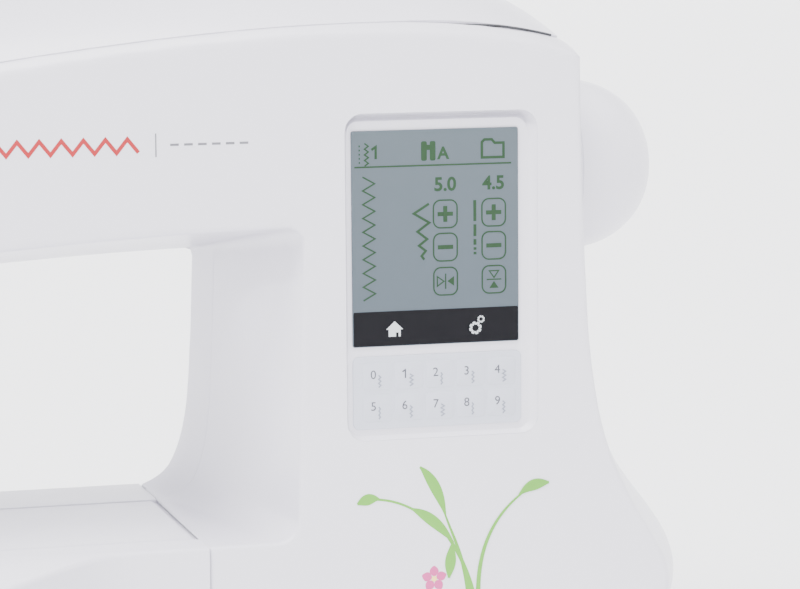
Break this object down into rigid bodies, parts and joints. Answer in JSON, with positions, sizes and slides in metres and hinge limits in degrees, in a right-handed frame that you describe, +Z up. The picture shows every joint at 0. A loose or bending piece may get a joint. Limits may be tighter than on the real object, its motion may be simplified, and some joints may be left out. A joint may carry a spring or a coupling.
{
  "type": "sewing machine",
  "caption": "Free-arm electronic sewing machine with a touch screen and keypad on the pillar, a hinged top lid, a side handwheel and a slide-off extension table.",
  "frame": {"origin": "middle of the machine's box in plan, on the surface that its rubber feet stand on", "axes": "+X towards the handwheel, -Y towards the user, +Z up"},
  "size_m": [0.4702, 0.207, 0.3046],
  "materials": {
    "white_plastic": "satin moulded",
    "grey_plastic": "fine moulded texture",
    "clear_plastic": "polished, clear",
    "screen": "reflective display under a clear film",
    "keypad": "printed membrane",
    "green_plastic": "translucent moulded",
    "black_plastic": "moulded",
    "rubber": "matt",
    "belt_rubber": "ribbed",
    "steel": "ground",
    "chrome": "polished",
    "cast_alloy": "as cast",
    "bronze": "sintered",
    "motor_paint": "satin black",
    "circuit_board": "solder mask"
  },
  "bodies": {
    "root": {"base_pan": "grey_plastic", "rubber_feet": "rubber", "front_cover": "white_plastic", "rear_cover": "white_plastic", "cover_screws": "steel", "arm_frame": "cast_alloy", "free_arm_shell": "white_plastic", "needle_plate": "chrome", "face_cover": "white_plastic", "spool_tray": "grey_plastic", "lid_hinge_pins": "steel", "spool_pin": "grey_plastic", "panel_frame": "white_plastic", "lcd_screen": "screen", "keypad": "keypad", "control_board": "circuit_board", "shaft_bushes": "bronze", "main_motor": "motor_paint", "drive_belt": "belt_rubber", "timing_belt": "belt_rubber", "bobbin_case": "black_plastic", "power_inlet": "black_plastic", "foot_socket": "black_plastic"},
    "main_shaft": {"handwheel": "white_plastic", "upper_shaft": "steel", "crank_disc": "steel", "timing_pulley_upper": "cast_alloy"},
    "motor_rotor": {"motor_pulley": "steel"},
    "lower_drive": {"lower_shaft": "steel", "timing_pulley_lower": "cast_alloy", "hook_drive_gear": "steel"},
    "hook": {"rotary_hook": "steel"},
    "bobbin": {"bobbin": "clear_plastic"},
    "swing": {"swing_frame": "cast_alloy"},
    "needle_bar": {"needle_bar": "steel", "needle_clamp": "chrome", "needle": "chrome", "needle_bar_link": "steel"},
    "take_up": {"take_up_lever": "chrome"},
    "presser": {"presser_bar": "steel", "foot_holder": "chrome", "presser_spring": "steel"},
    "foot": {"presser_foot": "chrome"},
    "lifter": {"presser_lifter": "grey_plastic"},
    "feed_lift": {"feed_lift_fork": "steel"},
    "feed": {"feed_dog": "steel"},
    "drop_lever": {"feed_drop_lever": "grey_plastic"},
    "bobbin_cover": {"bobbin_cover": "clear_plastic"},
    "table": {"extension_table": "white_plastic"},
    "lid": {"top_lid": "white_plastic"},
    "spool_cap": {"spool_cap": "grey_plastic"},
    "winder": {"winder_lever": "grey_plastic"},
    "winder_spindle": {"winder_spindle": "steel"},
    "start": {"start_button": "green_plastic"},
    "reverse": {"reverse_button": "grey_plastic"},
    "needle_up_down": {"needle_button": "grey_plastic"},
    "slider": {"speed_slider": "grey_plastic"},
    "dial": {"tension_dial": "grey_plastic"},
    "power_switch": {"power_switch": "black_plastic"},
    "buttonhole": {"buttonhole_lever": "grey_plastic"}
  },
  "joints": [
    {"name": "handwheel_spin", "type": "hinge", "parent": "root", "child": "main_shaft", "pos_m": [0, 0.025, 0.2185], "axis": [1, 0, 0], "continuous": true},
    {"name": "motor_spin", "type": "hinge", "parent": "root", "child": "motor_rotor", "pos_m": [0.16, 0.025, 0.12], "axis": [1, 0, 0], "continuous": true},
    {"name": "lower_shaft_spin", "type": "hinge", "parent": "root", "child": "lower_drive", "pos_m": [0, 0.025, 0.043], "axis": [1, 0, 0], "continuous": true},
    {"name": "hook_spin", "type": "hinge", "parent": "root", "child": "hook", "pos_m": [-0.158, 0.006, 0.06], "axis": [0, 0, 1], "continuous": true},
    {"name": "bobbin_spin", "type": "hinge", "parent": "root", "child": "bobbin", "pos_m": [-0.158, 0.006, 0.066], "axis": [0, 0, 1], "continuous": true},
    {"name": "needle_swing", "type": "hinge", "parent": "root", "child": "swing", "pos_m": [-0.158, 0.033, 0.23], "axis": [0, 1, 0], "range_deg": [-1.2, 1.2]},
    {"name": "needle_bar_slide", "type": "slide", "parent": "swing", "child": "needle_bar", "axis": [0, 0, -1], "range_m": [0, 0.032]},
    {"name": "take_up_swing", "type": "hinge", "parent": "root", "child": "take_up", "pos_m": [-0.1335, 0.005, 0.2], "axis": [1, 0, 0], "range_deg": [-25, 25]},
    {"name": "lifter_swing", "type": "hinge", "parent": "root", "child": "lifter", "pos_m": [-0.1, 0.062, 0.162], "axis": [1, 0, 0], "range_deg": [0, 45]},
    {"name": "presser_bar_slide", "type": "slide", "parent": "root", "child": "presser", "axis": [0, 0, 1], "range_m": [0, 0.006], "deforming": ["presser_spring"]},
    {"name": "foot_tilt", "type": "hinge", "parent": "presser", "child": "foot", "pos_m": [-0.158, 0.038, 0.0875], "axis": [1, 0, 0], "range_deg": [-8, 0]},
    {"name": "feed_lift_slide", "type": "slide", "parent": "root", "child": "feed_lift", "axis": [0, 0, 1], "range_m": [-0.003, 0]},
    {"name": "feed_stroke", "type": "slide", "parent": "feed_lift", "child": "feed", "axis": [0, 1, 0], "range_m": [-0.0025, 0.0025]},
    {"name": "feed_drop_slide", "type": "slide", "parent": "root", "child": "drop_lever", "axis": [1, 0, 0], "range_m": [0, 0.012]},
    {"name": "bobbin_cover_slide", "type": "slide", "parent": "root", "child": "bobbin_cover", "axis": [0, -1, 0], "range_m": [0, 0.036]},
    {"name": "table_slide", "type": "slide", "parent": "root", "child": "table", "axis": [-1, 0, 0], "range_m": [0, 0.245]},
    {"name": "lid_hinge", "type": "hinge", "parent": "root", "child": "lid", "pos_m": [0, 0.094, 0.281], "axis": [-1, 0, 0], "range_deg": [0, 85]},
    {"name": "spool_cap_slide", "type": "slide", "parent": "root", "child": "spool_cap", "axis": [-1, 0, 0], "range_m": [0, 0.034]},
    {"name": "winder_lever_swing", "type": "hinge", "parent": "root", "child": "winder", "pos_m": [0.118, 0.04, 0.256], "axis": [0, 0, 1], "range_deg": [0, 6]},
    {"name": "winder_spin", "type": "hinge", "parent": "winder", "child": "winder_spindle", "pos_m": [0.118, 0.008, 0.262], "axis": [0, 0, 1], "continuous": true},
    {"name": "start_press", "type": "slide", "parent": "root", "child": "start", "axis": [0, 1, 0], "range_m": [0, 0.0012], "stiffness_N_per_m": 400},
    {"name": "reverse_press", "type": "slide", "parent": "root", "child": "reverse", "axis": [0, 1, 0], "range_m": [0, 0.0012], "stiffness_N_per_m": 400},
    {"name": "needle_button_press", "type": "slide", "parent": "root", "child": "needle_up_down", "axis": [0, 1, 0], "range_m": [0, 0.0012], "stiffness_N_per_m": 400},
    {"name": "speed_slide", "type": "slide", "parent": "root", "child": "slider", "axis": [1, 0, 0], "range_m": [-0.014, 0.014]},
    {"name": "tension_turn", "type": "hinge", "parent": "root", "child": "dial", "pos_m": [-0.085, -0.04, 0.222], "axis": [0, 1, 0], "range_deg": [-135, 135]},
    {"name": "power_rock", "type": "hinge", "parent": "root", "child": "power_switch", "pos_m": [0.148, 0.0975, 0.045], "axis": [1, 0, 0], "range_deg": [-8, 8]},
    {"name": "buttonhole_slide", "type": "slide", "parent": "root", "child": "buttonhole", "axis": [0, 0, -1], "range_m": [0, 0.035]}
  ],
  "couplings": [
    {"joint": "motor_spin", "follows": "handwheel_spin", "ratio": 4},
    {"joint": "lower_shaft_spin", "follows": "handwheel_spin", "ratio": 1},
    {"joint": "hook_spin", "follows": "handwheel_spin", "ratio": 2},
    {"joint": "lifter_swing", "follows": "presser_bar_slide", "rad_per_m": 130.8},
    {"joint": "feed_drop_slide", "follows": "feed_lift_slide", "ratio": -4}
  ]
}
